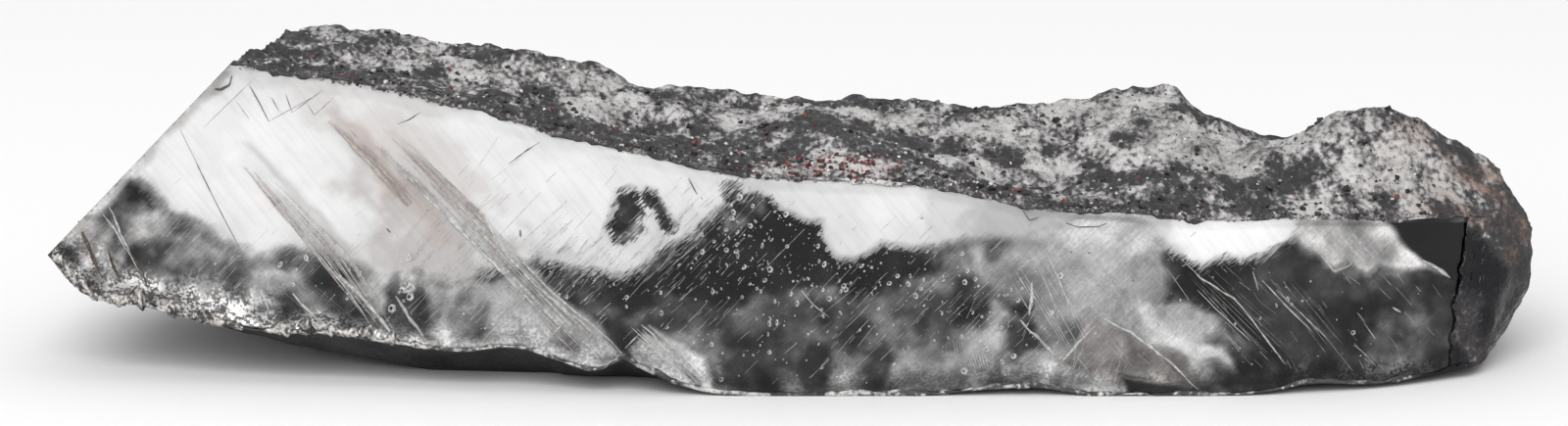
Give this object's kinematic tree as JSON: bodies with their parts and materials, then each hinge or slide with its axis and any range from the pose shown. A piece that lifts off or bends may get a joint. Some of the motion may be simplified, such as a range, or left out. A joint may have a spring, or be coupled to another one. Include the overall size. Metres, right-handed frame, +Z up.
{
  "type": "mineral specimen, proustite in selenite",
  "caption": "Hand-sized slab of clear to cloudy selenite with a flat cleavage front and a dark granular crust on top holding small dark-red proustite grains.",
  "frame": {"origin": "the middle of the specimen's box in plan, on the surface it lies on", "axes": "+X along the length, to the right as the flat cleavage front is faced; -Y out of that front; +Z up"},
  "size_m": [0.185, 0.0624, 0.0403],
  "materials": {
    "selenite": "polished",
    "cloudy_selenite": "satin",
    "crust": "rough",
    "frost": "rough",
    "proustite": "gloss"
  },
  "bodies": {
    "root": {"selenite_slab": "selenite"}
  },
  "joints": []
}
